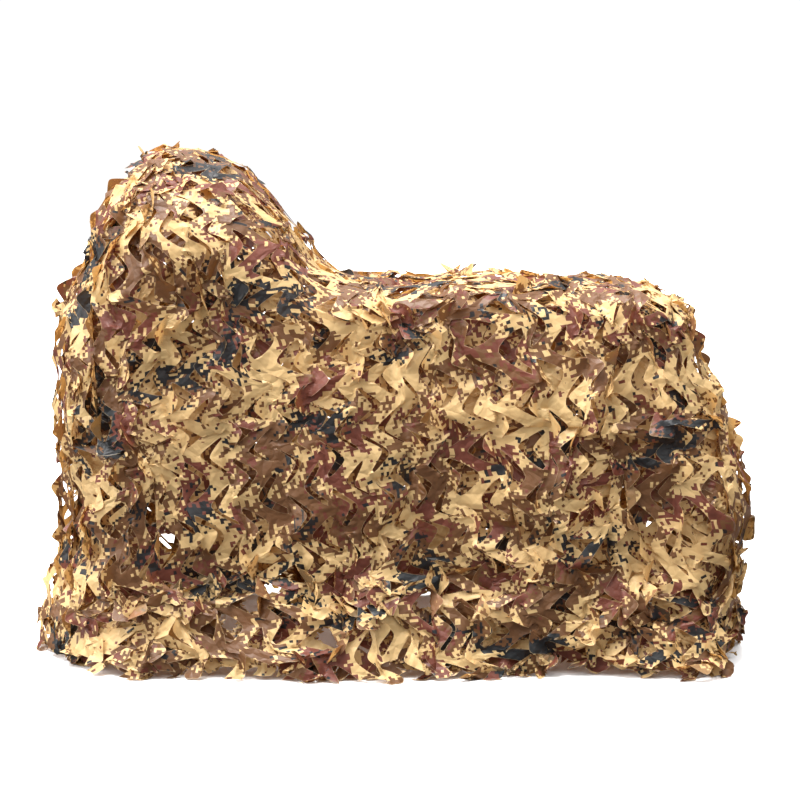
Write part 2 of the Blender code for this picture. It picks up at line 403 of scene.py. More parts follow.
    def place(self, p, q):
        """Points on the drape and the ways out from it."""
        points = np.zeros((len(p), 3))
        out = np.zeros((len(p), 3))
        which = self.part_of(p)
        for k, part in enumerate(self.parts.values()):
            here = which == k
            columns, rows = part["grid"].shape[:2]
            first, second = part["columns"][:2]
            x = np.clip((p[here] - first) / (second - first), 0, columns - 1.001)
            y = np.clip(q[here] / STEP_UP, 0, rows - 1.001)
            i, j = x.astype(int), y.astype(int)
            x, y = (x - i)[:, None], (y - j)[:, None]
            for values, found in ((part["grid"], points), (part["out"], out)):
                found[here] = (
                    values[i, j] * (1 - x) * (1 - y)
                    + values[i + 1, j] * x * (1 - y)
                    + values[i, j + 1] * (1 - x) * y
                    + values[i + 1, j + 1] * x * y
                )
        out /= np.maximum(np.linalg.norm(out, axis=1, keepdims=True), 1e-9)
        return points + out * self.lap_lift(p, q)[:, None], out

    def lap_lift(self, p, q):
        """How far a cloth stands off where it laps over another, or under it."""
        past_back = np.maximum(-self.left_length - p, p - self.last_place + LAP)
        lift = LAYER_GAP * np.clip((past_back + LAP_RISE) / LAP_RISE, 0, 1)
        for name in ("left", "right"):
            part = self.parts[name]
            here = (p >= part["columns"][0]) & (p <= part["columns"][-1])
            past_top = q - np.interp(p, part["columns"], part["shoulders"])
            lift = lift - here * LAYER_GAP * np.clip(past_top / LAP_RISE, 0, 1)
        return lift


# ---- Node trees ----

def add_node(tree, kind, inputs=None, output=0, **settings):
    """A new node with its settings, fed by sockets or plain values, as its output wanted."""
    node = tree.nodes.new(kind)
    for name, value in settings.items():
        setattr(node, name, value)
    for socket, value in (inputs or {}).items():
        if isinstance(value, bpy.types.NodeSocket):
            tree.links.new(value, node.inputs[socket])
        else:
            node.inputs[socket].default_value = value
    return node.outputs[output]


def mathematics(tree, kind="ShaderNodeMath"):
    """A function that adds a node of one operation on sockets or plain values."""
    def maths(operation, *values):
        return add_node(tree, kind, dict(enumerate(values)), operation=operation)
    return maths


def blend(tree, share, under, over, how="MIX"):
    """One colour laid over another."""
    inputs = {"Factor": share, 6: under, 7: over}
    return add_node(tree, "ShaderNodeMix", inputs, 2, data_type="RGBA", blend_type=how)


def new_group(name, kind, inputs, output, output_kind):
    """An empty node group with its named inputs and one output, and the ends to join to."""
    group = bpy.data.node_groups.new(name, kind)
    for socket, socket_kind in inputs:
        group.interface.new_socket(socket, in_out="INPUT", socket_type="NodeSocket" + socket_kind)
    group.interface.new_socket(output, in_out="OUTPUT", socket_type="NodeSocket" + output_kind)
    start, end = group.nodes.new("NodeGroupInput"), group.nodes.new("NodeGroupOutput")
    return group, start.outputs, end.inputs[output]


# ---- The cut cloth ----

def zigzag(b):
    """How far a row of cuts stands to the side at a place along it; its bends are rounded."""
    return ZIGZAG / math.pi * np.arcsin(ROUNDING * np.cos(2 * math.pi * b / REPEAT))


def cut_cloth_tree():
    """Geometry Nodes: a flat grid whose lines swing in zigzags and part along the cuts."""
    tree, size, result = new_group("leaf_cut_flat_cloth", "GeometryNodeTree", (
        ("First Strip", "Int"), ("Strips", "Int"), ("First Repeat", "Int"), ("Repeats", "Int"),
        ("Cells Across", "Int"), ("Cells Along", "Int"), ("Strip", "Float"), ("Repeat", "Float"),
        ("Zigzag", "Float"), ("Cut Share", "Float"), ("Rounding", "Float"),
    ), "Geometry", "Geometry")
    maths = mathematics(tree)

    across = maths("ADD", maths("MULTIPLY", size["Strips"], size["Cells Across"]), 1)
    along = maths("ADD", maths("MULTIPLY", size["Repeats"], size["Cells Along"]), 1)
    counts = {"Vertices X": across, "Vertices Y": along}
    grid = add_node(tree, "GeometryNodeMeshGrid", counts, "Mesh")

    def column_and_row(index):
        """The place of a point in the grid, counted in cells from the cloth's own zero."""
        column = maths("FLOOR", maths("DIVIDE", maths("ADD", index, 0.5), along))
        row = maths("SUBTRACT", index, maths("MULTIPLY", column, along))
        first_column = maths("MULTIPLY", size["First Strip"], size["Cells Across"])
        first_row = maths("MULTIPLY", size["First Repeat"], size["Cells Along"])
        return maths("ADD", column, first_column), maths("ADD", row, first_row)

    def from_zero(value, whole):
        """The distance to the nearest multiple of a whole."""
        nearest = maths("MULTIPLY", whole, maths("ROUND", maths("DIVIDE", value, whole)))
        return maths("ABSOLUTE", maths("SUBTRACT", value, nearest))

    # every point goes to its place on the flat cloth
    column, row = column_and_row(add_node(tree, "GeometryNodeInputIndex"))
    repeats = maths("DIVIDE", row, size["Cells Along"])
    swing = maths("COSINE", maths("MULTIPLY", repeats, 2 * math.pi))
    swing = maths("ARCSINE", maths("MULTIPLY", swing, size["Rounding"]))
    swing = maths("MULTIPLY", swing, maths("DIVIDE", size["Zigzag"], math.pi))
    a = maths("MULTIPLY", maths("DIVIDE", column, size["Cells Across"]), size["Strip"])
    b = maths("MULTIPLY", repeats, size["Repeat"])
    place = add_node(tree, "ShaderNodeCombineXYZ", {0: maths("ADD", a, swing), 1: b})
    moved = add_node(tree, "GeometryNodeSetPosition", {"Geometry": grid, "Position": place})

    # a cut runs round the bends that point right on even rows, and left on odd rows
    ends = tree.nodes.new("GeometryNodeInputMeshEdgeVertices").outputs
    column_1, row_1 = column_and_row(ends["Vertex Index 1"])
    column_2, row_2 = column_and_row(ends["Vertex Index 2"])
    apart = maths("ABSOLUTE", maths("SUBTRACT", column_1, column_2))
    same_column = maths("LESS_THAN", apart, 0.5)
    on_row = maths("LESS_THAN", from_zero(column_1, size["Cells Across"]), 0.5)
    two_strips = maths("MULTIPLY", size["Cells Across"], 2)
    on_even = maths("LESS_THAN", from_zero(column_1, two_strips), 0.5)
    middle = maths("MULTIPLY", maths("ADD", row_1, row_2), 0.5)
    to_bend = from_zero(middle, size["Cells Along"])
    to_other = maths("SUBTRACT", maths("MULTIPLY", size["Cells Along"], 0.5), to_bend)
    on_odd = maths("SUBTRACT", 1, on_even)
    distance = maths(
        "ADD", maths("MULTIPLY", on_even, to_bend), maths("MULTIPLY", on_odd, to_other))
    reach = maths("MULTIPLY", maths("MULTIPLY", size["Cut Share"], size["Cells Along"]), 0.5)
    inside = maths("LESS_THAN", distance, reach)
    chosen = maths("MULTIPLY", maths("MULTIPLY", same_column, on_row), inside)
    cut = add_node(tree, "GeometryNodeSplitEdges", {"Mesh": moved, "Selection": chosen})

    real = add_node(tree, "GeometryNodeRealizeInstances", {"Geometry": cut})
    tree.links.new(add_node(tree, "GeometryNodeSetMaterial", {"Geometry": real}), result)
    return tree


def flat_cut_cloth(tree, sizes):
    """Points and cells of the flat cut cloth that the tree makes."""
    holder = bpy.data.objects.new("flat_cloth", bpy.data.meshes.new("flat_cloth"))
    bpy.context.scene.collection.objects.link(holder)
    modifier = holder.modifiers.new("leaf_cuts", "NODES")
    modifier.node_group = tree
    for socket in tree.interface.items_tree:
        if socket.in_out == "INPUT":
            modifier[socket.identifier] = sizes[socket.name]
    graph = bpy.context.evaluated_depsgraph_get()
    mesh = bpy.data.meshes.new_from_object(holder.evaluated_get(graph))
    points = np.empty(len(mesh.vertices) * 3)
    mesh.vertices.foreach_get("co", points)
    corners = np.empty(len(mesh.loops), np.int32)
    mesh.loops.foreach_get("vertex_index", corners)
    bpy.data.objects.remove(holder)
    bpy.data.meshes.remove(mesh)
    return points.reshape(-1, 3)[:, :2], corners.reshape(-1, 4)


def whole_units(values, unit):
    """The first whole unit and how many there are, with two to spare at each end."""
    first = int(np.floor(values.min() / unit)) - 2
    return first, int(np.ceil(values.max() / unit)) + 2 - first


def numbered(row, place):
    """One number over nought for each row and place along it."""
    return (row * 1000 + place + 500000).astype(int)


class Plates:
    """Groups of points, each of which keeps a shape of its own as stiff cloth does."""

    def __init__(self, numbers, shape):
        _, self.group = np.unique(numbers, return_inverse=True)
        self.count = np.bincount(self.group)[:, None]
        self.own = shape - self.centre(shape)[self.group]

    def sums(self, values):
        return np.stack([np.bincount(self.group, column) for column in values.T], -1)

    def centre(self, points):
        return self.sums(points) / self.count

    def fitted(self, points):
        """Every group's own shape, turned and moved to where its points are."""
        centre = self.centre(points)[self.group]
        pairs = (points - centre)[:, :, None] * self.own[:, None, :]
        spread = self.sums(pairs.reshape(-1, 9)).reshape(-1, 3, 3)
        left, _, right = np.linalg.svd(spread)
        left[:, :, 2] *= np.linalg.det(left @ right)[:, None]
        return centre + np.einsum("ijk,ik->ij", (left @ right)[self.group], self.own)


class CutCloth:
    """A flat cut cloth laid over the drape, with the links that hold it together."""

    def __init__(self, drape, tree, across, along, stretch, shift, seed, slack, opened=()):
        self.drape = drape
        self.random = np.random.default_rng(seed)
        turn = np.array(
            [[math.cos(ROW_TILT), -math.sin(ROW_TILT)], [math.sin(ROW_TILT), math.cos(ROW_TILT)]]
        )
        self.way_across = turn[:, 0]
        reach_q = max(part["lengths"].max() for part in drape.parts.values())
        corners = np.array(
            [[p, q] for p in (drape.first_place, drape.last_place) for q in (-0.1, reach_q + 0.1)]
        )
        flat = corners @ turn / stretch
        first_strip, strips = whole_units(flat[:, 0], STRIP)
        first_repeat, repeats = whole_units(flat[:, 1], REPEAT)
        points, cells = flat_cut_cloth(tree, {
            "First Strip": first_strip, "Strips": strips,
            "First Repeat": first_repeat, "Repeats": repeats,
            "Cells Across": across, "Cells Along": along, "Strip": STRIP, "Repeat": REPEAT,
            "Zigzag": ZIGZAG, "Cut Share": CUT_SHARE, "Rounding": ROUNDING,
        })
        a, b = points.T
        laid = np.stack([a * stretch[0], b * stretch[1]], -1) @ turn.T + shift
        p, q = self.uneven(*laid.T, seed, slack)

        table = (strips, across, repeats * along)
        keep = self.on_drape(p, q, cells, table, along // 2)
        keep &= self.not_opened(p, q, cells, opened)

        # scraps that no bridge holds are cut away
        held = self.bridges(points, across) > 0
        reached = np.zeros(len(points), bool)
        reached[cells[keep]] = held[cells[keep]]
        for _ in range(60):
            reached[cells[keep][reached[cells[keep]].any(1)]] = True
        keep &= reached[cells].all(1)

        used, kept = np.unique(cells[keep], return_inverse=True)
        self.cells = kept.reshape(-1, 4)
        number = np.full(len(points), -1)
        number[used] = np.arange(len(used))
        bends = self.links_over_two(cells.reshape(-1, table[2], 4), keep.reshape(-1, table[2]))
        self.bends = np.unique(number[bends], axis=0)
        sides = np.concatenate([self.cells[:, [k, (k + 1) % 4]] for k in range(4)])
        sides.sort(axis=1)
        self.sides, uses = np.unique(sides, axis=0, return_counts=True)
        self.cross = np.concatenate([self.cells[:, [0, 2]], self.cells[:, [1, 3]]])
        self.is_edge = np.zeros(len(used), bool)
        self.is_edge[self.sides[uses == 1]] = True
        self.flat, self.p, self.q = points[used], p[used], q[used]
        self.find_leaves(across)

    def uneven(self, p, q, seed, slack):
        """Where the cloth is bunched and where it is pulled open."""
        bunched = rough_at(p, q)
        wide = 0.020 * slack * (0.5 + bunched)
        small = 0.0075 * slack * (0.25 + 1.1 * bunched)
        to_hem = np.clip(0.19 - q, 0, None)
        p = p + wide * waves(p, q, 0.30, seed + 1) + small * waves(p, q, 0.10, seed + 2)
        q = q + wide * waves(p, q, 0.30, seed + 3) + small * waves(p, q, 0.10, seed + 4)
        return p, q + to_hem * 0.40

    def on_drape(self, p, q, cells, table, half):
        """Which cells lie on the drape. Strips end square at the hem, a little out of line."""
        drape = self.drape
        strips, _, rows = table
        middle_p, middle_q = (
            values[cells].mean(1).reshape(table).mean(1, keepdims=True) for values in (p, q)
        )
        ragged = self.random.uniform(0, RAGGED, (strips, 1, 1))
        raised = np.clip(hem_in(middle_p) - ON_FLOOR, 0, None)
        length = drape.length_at(middle_p)
        near = (middle_q > raised + ragged) & (middle_q < length - ragged / 2)
        keep = np.broadcast_to(near, table).ravel()

        # the side edges are whole leaves
        leaves = (*table[:2], rows // half, half)
        leaf_p = p[cells].mean(1).reshape(leaves).mean((1, 3), keepdims=True)
        near = (leaf_p > drape.first_place + 0.01) & (leaf_p < drape.last_place - 0.01)
        keep &= np.broadcast_to(near, leaves).ravel()

        # a cell joins two parts of the drape only below the shoulder where they part
        part = drape.part_of(p)[cells]
        left_seam = drape.parts["left"]["shoulders"][-1]
        right_seam = drape.parts["right"]["shoulders"][0]
        seam = np.where(part.min(1) == 0, left_seam, right_seam)
        keep &= (part.min(1) == part.max(1)) | (q[cells].max(1) < seam)
        return keep & (q < drape.length_at(p) + STEP_UP)[cells].all(1)

    def not_opened(self, p, q, cells, opened):
        """Which cells are clear of the gaps, where the cloth beneath is open too."""
        keep = np.ones(len(cells), bool)
        middle, out = self.drape.place(p[cells].mean(1), q[cells].mean(1))
        for place in opened:
            gap = middle - place
            off = np.einsum("ij,ij->i", gap, out)
            gap -= out * off[:, None]
            keep &= (np.linalg.norm(gap, axis=1) > OPENED) | (np.abs(off) > OPENED_DEEP)
        return keep

    def links_over_two(self, table, keep):
        """Links over two cells, which keep the cloth from creasing at every line."""
        left, right = table[:-1], table[1:]
        beside = keep[:-1] & keep[1:]
        beside &= (left[..., 1] == right[..., 0]) & (left[..., 2] == right[..., 3])
        above = keep[:, :-1] & keep[:, 1:]
        return np.concatenate([
            np.stack([left[..., 0], right[..., 1]], -1)[beside],
            np.stack([left[..., 3], right[..., 2]], -1)[beside],
            np.stack([table[:, :-1, 0], table[:, 1:, 3]], -1)[above],
            np.stack([table[:, :-1, 1], table[:, 1:, 2]], -1)[above],
        ])

    def bridges(self, flat, across):
        """A number for each bridge, on the points that it holds."""
        a, b = flat.T
        number = np.zeros(len(a), int)
        column = (a - zigzag(b)) / STRIP
        for parity in (0, 1):
            row = np.round((column - parity) / 2) * 2 + parity
            between = np.round(b / REPEAT - 0.5 - parity / 2)
            off = np.abs(b - (between + 0.5 + parity / 2) * REPEAT)
            held = (np.abs(column - row) < 1.4 / across) & (off < REPEAT * (1 - CUT_SHARE) / 2)
            number[held] = numbered(row[held], between[held])
        return number

    def middles(self):
        """The middle of the cells round each point."""
        centres = self.flat[self.cells].mean(1)
        corners = self.cells.ravel()
        sums = [np.bincount(corners, np.repeat(centres[:, k], 4)) for k in (0, 1)]
        return np.stack(sums, -1) / np.bincount(corners)[:, None]

    def find_leaves(self, across):
        """How far each point lies out on a leaf, from its root at 0 to its tip at 1."""
        a, b = self.flat.T
        half_cut = CUT_SHARE * REPEAT / 2
        root = zigzag(half_cut)
        self.depth = zigzag(0) - root
        self.leaf = np.zeros(len(a))
        self.leaf_id = np.zeros(len(a), int)
        self.leaf_row = np.zeros(len(a))
        self.leaf_way = np.zeros(len(a))
        # both sides of a cut have the same place, so each is told by the cells that it holds
        own_a, own_b = self.flat.T + 0.2 * (self.middles() - self.flat).T
        column = (own_a - zigzag(own_b)) / STRIP
        arm = np.floor(2 * own_b / REPEAT + 1e-6)
        self.plate = numbered(np.floor(column + 1e-4), arm)
        for parity, way in ((0, 1), (1, -1)):
            if way == 1:
                row_of_cuts = 2 * np.ceil(column / 2 - 1e-4)
            else:
                row_of_cuts = 2 * np.floor((column - 1) / 2 + 1e-4) + 1
            number = np.round(own_b / REPEAT - parity / 2)
            along_leaf = b - (number + parity / 2) * REPEAT
            past = way * (a - row_of_cuts * STRIP - way * root) / self.depth
            on = (past > 0) & (np.abs(along_leaf) < half_cut)
            on &= np.abs(column - row_of_cuts) < 1.001
            self.leaf[on] = np.minimum(past[on], 1)
            self.leaf_row[on] = along_leaf[on] / half_cut
            self.leaf_way[on] = way
            self.leaf_id[on] = numbered(row_of_cuts[on], number[on] * 2 + parity)
        self.bridge_id = self.bridges(self.flat, across)
        self.held = self.bridge_id > 0
        self.plate[self.leaf_id > 0] = -self.leaf_id[self.leaf_id > 0]

    def settle(self, offset, stand, rounds, lumpy, parting):
        """Lay the cloth on the drape and let it relax between its bridges."""
        self.lay(offset, lumpy)
        inward, up = self.curled(*self.curls(stand, parting))
        shape = np.column_stack([self.flat[:, 0] + inward * self.leaf_way, self.flat[:, 1], up])
        start = self.target + self.across * (inward * self.leaf_way)[:, None]
        return self.relaxed(start + self.out * up[:, None], shape, offset, rounds)

    def lay(self, offset, lumpy):
        """The place of each point as the cloth is laid, and what the net does there."""
        points, out = self.drape.place(self.p, self.q)
        left_corner = bell(self.p + LEFT_TURN, CORNER_REACH)
        right_corner = bell(self.p - self.drape.over_length - RIGHT_TURN, CORNER_REACH)
        ahead = self.drape.place(
            self.p + 0.012 * self.way_across[0], self.q + 0.012 * self.way_across[1]
        )[0]
        across = ahead - points
        across /= np.maximum(np.linalg.norm(across, axis=1, keepdims=True), 1e-6)
        points = set_in(points, out, left_corner, right_corner)
        low = np.clip((CORNER_TOP - points[:, 2]) / CORNER_FADE, 0, 1) * (points[:, 1] < 0)
        for (past, way, most), front_end in zip(HEM_CORNERS, (0, self.drape.over_length)):
            off = most * low * bell(self.p - (front_end + past), CORNER_WIDTH)
            points += np.column_stack([off * way, off * CORNER_BACK, 0 * off])

        bunched = rough_at(self.p, self.q)
        lumps = 0.011 * waves(self.p, self.q, 0.17, SEEDS["lumps"])
        lumps = lumps + 0.006 * waves(self.p, self.q, 0.07, SEEDS["small lumps"])
        on_top = np.clip((out[:, 2] - 0.45) / 0.35, 0, 1)
        lumps *= lumpy * (0.35 + 0.9 * bunched) * (1 - 0.4 * on_top)
        at_foot = bell(self.q - 0.125, 0.040)
        lumps += at_foot * (0.004 + 0.010 * waves(self.p, self.q, 0.19, SEEDS["foot"]))
        at_tips = bell(self.q, 0.075)
        tips = 0.006 * at_tips * waves(self.p, self.q, 0.06, SEEDS["tips"])
        lumps = lumps * (1 - 0.6 * at_tips) + tips

        # each bridge stands a little off its place, and leans
        bridges, bridge_of = np.unique(self.bridge_id, return_inverse=True)
        nudge = np.clip(self.random.normal(0, 1, (len(bridges), 3)), -2, 2)[bridge_of]
        nudge *= (lumpy * (0.0015 + 0.0075 * bunched) * self.held)[:, None]
        centre = np.stack([
            np.bincount(bridge_of, self.flat[:, k]) / np.bincount(bridge_of) for k in (0, 1)
        ], -1)[bridge_of]
        lean = np.clip(self.random.normal(0, 1, (len(bridges), 2)), -2, 2)[bridge_of]
        tilt = ((self.flat - centre) * lean).sum(1) * lumpy * (0.25 + 0.65 * bunched) * self.held
        tilt *= 1 - 0.4 * on_top
        self.target = points + out * (offset + lumps + tilt)[:, None] + nudge
        self.target[:, 2] = np.maximum(self.target[:, 2], 2 * FLOOR_GAP)
        self.base, self.out, self.across = points, out, across
        self.bunched, self.on_top = bunched, on_top
        self.corner = np.maximum(left_corner, right_corner)
        self.highest = HIGHEST - 0.018 * np.maximum(self.corner * (1 - at_foot), on_top)
        self.highest = self.highest - 0.020 * at_tips

    def curls(self, stand, parting):
        """How far each point's leaf curls, where it folds and how much it bows."""
        ids, leaf_of = np.unique(self.leaf_id, return_inverse=True)
        kind = self.random.uniform(0, 1, len(ids))
        spread = self.random.uniform(0.4, 1, len(ids))
        curl = np.array(CURL_DEGREES)[np.searchsorted(CURL_SHARES, kind, side="right")]
        curl = np.radians(curl * spread)[leaf_of] * stand
        calm = 1 - self.bunched
        sharp = np.abs(curl) > SHARP_CURL
        curl = np.where(sharp, curl * (1 - 0.7 * calm), curl * (1 - 0.3 * calm))
        # they lie closer where the net turns round the front corners and on the top
        close = 0.9 * self.random.uniform(0.2, 1, len(ids))[leaf_of]
        closer = curl * (1 - close * self.corner) * (1 - close * self.on_top)
        curl = np.where(curl > 0, closer, curl)
        curl *= 1 + self.random.uniform(-0.5, 0.5, len(ids))[leaf_of] * self.leaf_row
        curl[self.leaf_id == 0] = 0
        hinge = self.random.choice(HINGES, len(ids))
        slant = self.random.uniform(-SLANT, SLANT, len(ids)) * (kind > 0.3)
        bow = self.random.normal(0, BOW, len(ids))
        tip = self.leaf > 0.5
        tips = np.stack([
            np.bincount(leaf_of[tip], self.target[tip, k], len(ids)) for k in range(3)
        ], -1) / np.maximum(np.bincount(leaf_of[tip], minlength=len(ids)), 1)[:, None]
        self.opened = []
        places = list(PARTED) if parting else []
        for number, place in enumerate(places):
            leaf = np.argmin(np.linalg.norm(tips - place, axis=1))
            hinge[leaf] = PARTED_HINGE
            slant[leaf] = 0
            curl[leaf_of == leaf] = PARTED_CURL
            gap = self.target[leaf_of == leaf].mean(0)
            self.opened.append(gap)
            if number < SEEN_THROUGH:
                onward = (BACK_WALL - EYE[1]) / (gap[1] - EYE[1])
                places.append(np.array(EYE) + (gap - EYE) * onward)
        hinge = hinge[leaf_of] + slant[leaf_of] * self.leaf_row
        hinge[self.leaf_id == 0] = 0
        return curl, hinge, bow[leaf_of]

    def curled(self, curl, hinge, bow):
        """How far each point goes in towards its leaf's root, and up, as the leaf curls."""
        run = np.clip(self.leaf - np.maximum(hinge, 0), 0, None) * self.depth
        tight = curl / BEND
        tight = np.where(np.abs(tight) < 0.5, 0.5, tight)
        arc = np.minimum(run, BEND)
        over = run - arc
        inward = np.sin(tight * arc) / tight + over * np.cos(curl) - run
        up = (1 - np.cos(tight * arc)) / tight + over * np.sin(curl)
        inward[run <= 0] = 0
        up[run <= 0] = 0
        on_leaf = self.leaf_id > 0
        up += (bow * np.clip(2 * self.leaf, 0, 1)) * (1 - self.leaf_row ** 2) * on_leaf
        return inward, up

    def relaxed(self, x, shape, offset, rounds):
        """The points after the links have pulled them and the plates kept their shapes."""
        links = (
            (self.sides, LINKS["sides"]), (self.cross, LINKS["diagonals"]),
            (self.bends, LINKS["bends"]),
        )
        stiff = np.concatenate([np.full(len(pairs), s) for pairs, s in links])
        on_leaf = (self.leaf[self.bends] > 0.02).all(1)
        stiff[-len(self.bends):][on_leaf] = LINKS["leaf bends"]
        first, second = np.concatenate([pairs for pairs, _ in links]).T
        rest = np.linalg.norm(shape[first] - shape[second], axis=1)
        count = len(x)
        degree = np.bincount(first, stiff, count) + np.bincount(second, stiff, count)
        ease = EASING / np.maximum(degree, 1e-6)
        hold = np.where(self.held, BRIDGE_HOLD, 0.0)[:, None]
        plates = Plates(self.plate, shape)
        pull = np.where(self.leaf_id > 0, LEAF_PULL, PLATE_PULL)[:, None]
        before = x.copy()
        for turn in range(rounds):
            drift = (x - before) * (SWAY if turn < rounds * LATE else LATE_SWAY)
            before = x.copy()
            x += drift
            x[:, 2] -= DROOP
            gap = x[second] - x[first]
            length = np.sqrt(np.einsum("ij,ij->i", gap, gap))
            gap *= (stiff * 0.5 * (1 - rest / np.maximum(length, 1e-7)))[:, None]
            for k in range(3):
                move = np.bincount(first, gap[:, k], count) - np.bincount(second, gap[:, k], count)
                x[:, k] += move * ease
            x += (self.target - x) * hold
            if turn % PLATE_EVERY == PLATE_EVERY - 1:
                move = (plates.fitted(x) - x) * pull
                x += move
                before += move
            far = np.linalg.norm(x - self.target, axis=1)
            x += (self.target - x) * np.clip(1 - STRAY / np.maximum(far, 1e-6), 0, 1)[:, None]
            away = np.einsum("ij,ij->i", x - self.base, self.out)
            x += self.out * (np.clip(away, offset - SUNK, self.highest) - away)[:, None]
            x[:, 2] = np.maximum(x[:, 2], FLOOR_GAP)
        return x


def cloth_object(name, cloth, points, keep):
    """A mesh object of the cells kept, with the flat cloth as its map and its cut edges marked."""
    ends = np.roll(cloth.cells, -1, axis=1)
    sides = np.linalg.norm(points[cloth.cells] - points[ends], axis=2)
    sides /= np.linalg.norm(cloth.flat[cloth.cells] - cloth.flat[ends], axis=2)
    cells = cloth.cells[keep & (sides.max(1) < TORN)]
    used, cells = np.unique(cells, return_inverse=True)
    cells = cells.reshape(-1, 4)
    mesh = bpy.data.meshes.new(name)
    mesh.vertices.add(len(used))
    mesh.vertices.foreach_set("co", points[used].astype(np.float32).ravel())
    mesh.loops.add(cells.size)
    mesh.loops.foreach_set("vertex_index", cells.ravel().astype(np.int32))
    mesh.polygons.add(len(cells))
    mesh.polygons.foreach_set("loop_start", np.arange(0, cells.size, 4, dtype=np.int32))
    mesh.polygons.foreach_set("use_smooth", np.ones(len(cells), bool))
    mesh.update(calc_edges=True)
    layer = mesh.uv_layers.new(name="flat_cloth")
    layer.uv.foreach_set("vector", cloth.flat[used][cells.ravel()].astype(np.float32).ravel())
    edge = mesh.attributes.new("cut_edge", "FLOAT", "POINT")
    edge.data.foreach_set("value", cloth.is_edge[used].astype(np.float32))
    mesh.validate()
    mesh.set_sharp_from_angle(angle=CREASE_ANGLE)
    piece = bpy.data.objects.new(name, mesh)
    bpy.context.scene.collection.objects.link(piece)

    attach(piece, "root")
    return piece


# ---- Finishes ----

PRINT_SQUARE = 0.0051
SQUARE_OFFSET = (0.01, 0.01, 0.5)        # keeps the cloth's own zero inside a square
GROUND_TAN = (0.64, 0.44, 0.20)
INKS = {
    # colour, blob pace per metre, share cut, specks, offset
    "brown": ((0.146, 0.067, 0.028), 8.5, 0.520, 0.018, (3.1, 7.7, 1.0)),
    "maroon": ((0.155, 0.046, 0.029), 10.5, 0.596, 0.009, (11.3, 2.9, 5.0)),
    "tan": (GROUND_TAN, 0, 0, 0.045, (0, 0, 0)),
    "slate": ((0.013, 0.016, 0.018), 7.0, 0.631, 0.007, (5.7, 13.1, 9.0)),
}
# the back's colour: the plain reverse of the cloth, tinted golden to paint part of the warm glow of
# light passing through and between the leaves
BACK_WITH_PAINTED_GLOW = (0.52, 0.32, 0.13, 1)
# the pale line at the cut edges: partly the edge's own colour, partly a painted highlight along its
# lit rim
PALE_EDGE_AND_PAINTED_HIGHLIGHT = (0.80, 0.60, 0.34, 1)
GLOW_COLOUR = (0.72, 0.40, 0.12, 1)
GLOW_WARMTH = (1.12, 0.86, 0.56, 1)
GLOW_SHARE = 0.30       # of the light that comes through a leaf
CREASES = ((38, 1.0, 0.0), (75, 0.45, 5.0))      # per metre, weight, offset
CREASE_BENDS = (0.012, 0.012, 0)


def print_group():
    """The printed colour of the cloth: small squares of four colours in broken-edged blobs."""
    group, start, end = new_group(
        "small_square_print", "ShaderNodeTree", (("Place", "Vector"), ("Square", "Float")),
        "Color", "Color")
    maths = mathematics(group)
    vector = mathematics(group, "ShaderNodeVectorMath")

    def white(place, seed):
        """An even random number for each place."""
        moved = vector("ADD", place, (0, 0, seed))
        return add_node(
            group, "ShaderNodeTexWhiteNoise", {"Vector": moved}, "Value", noise_dimensions="3D")

    def squares(*shares):
        """The bars or blocks of squares that a place is in."""
        return vector("FLOOR", vector("MULTIPLY", cell, shares))

    square = start["Square"]
    size = add_node(group, "ShaderNodeCombineXYZ", {0: square, 1: square, 2: square})
    cell = vector("ADD", vector("DIVIDE", start["Place"], size), SQUARE_OFFSET)
    small = vector("FLOOR", cell)
    wide, tall, big = squares(0.5, 1, 1), squares(1, 0.5, 1), squares(0.34, 0.34, 1)
    middle = vector("MULTIPLY", small, size)

    ground = group.nodes.new("ShaderNodeRGB")
    ground.outputs[0].default_value = (*GROUND_TAN, 1)
    colour = ground.outputs[0]
    for number, (ink, pace, share, specks, offset) in enumerate(INKS.values()):
        bars = wide if number % 2 else tall
        speck = maths("GREATER_THAN", white(small, 60 + number), 1 - specks / 2)
        bar = maths("GREATER_THAN", white(bars, 80 + number), 1 - specks / 2)
        mask = maths("MAXIMUM", speck, bar)
        if pace:
            field = add_node(group, "ShaderNodeTexNoise", {
                "Scale": pace, "Detail": 3, "Roughness": 0.55,
                "Vector": vector("ADD", middle, offset),
            }, "Fac", noise_dimensions="2D")
            for place, seed, strength in (
                (small, 1, 0.07), (wide, 2, 0.08), (tall, 3, 0.08), (big, 4, 0.04)
            ):
                noise = white(place, seed + 10 * number)
                rough = maths("MULTIPLY_ADD", noise, strength, -strength / 2)
                field = maths("ADD", field, rough)
            mask = maths("MAXIMUM", maths("GREATER_THAN", field, share), mask)
        colour = blend(group, mask, colour, (*ink, 1))
    group.links.new(colour, end)
    return group


def crease_group():
    """Height of fine creases."""
    group, start, end = new_group(
        "creased_cloth", "ShaderNodeTree", (("Place", "Vector"),), "Height", "Float")
    maths = mathematics(group)
    vector = mathematics(group, "ShaderNodeVectorMath")
    place = start["Place"]
    bent = add_node(
        group, "ShaderNodeTexNoise", {"Scale": 30, "Vector": place}, "Color", noise_dimensions="2D")
    shift = vector("MULTIPLY_ADD", bent, CREASE_BENDS, place)
    heights = []
    for pace, weight, offset in CREASES:
        moved = vector("ADD", shift, (offset, offset, 0))
        facets = add_node(
            group, "ShaderNodeTexVoronoi", {"Scale": pace, "Vector": moved}, "Distance",
            voronoi_dimensions="2D", feature="DISTANCE_TO_EDGE")
        heights.append(maths("MULTIPLY", facets, weight / pace * CREASES[0][0]))
    group.links.new(maths("ADD", *heights), end)
    return group


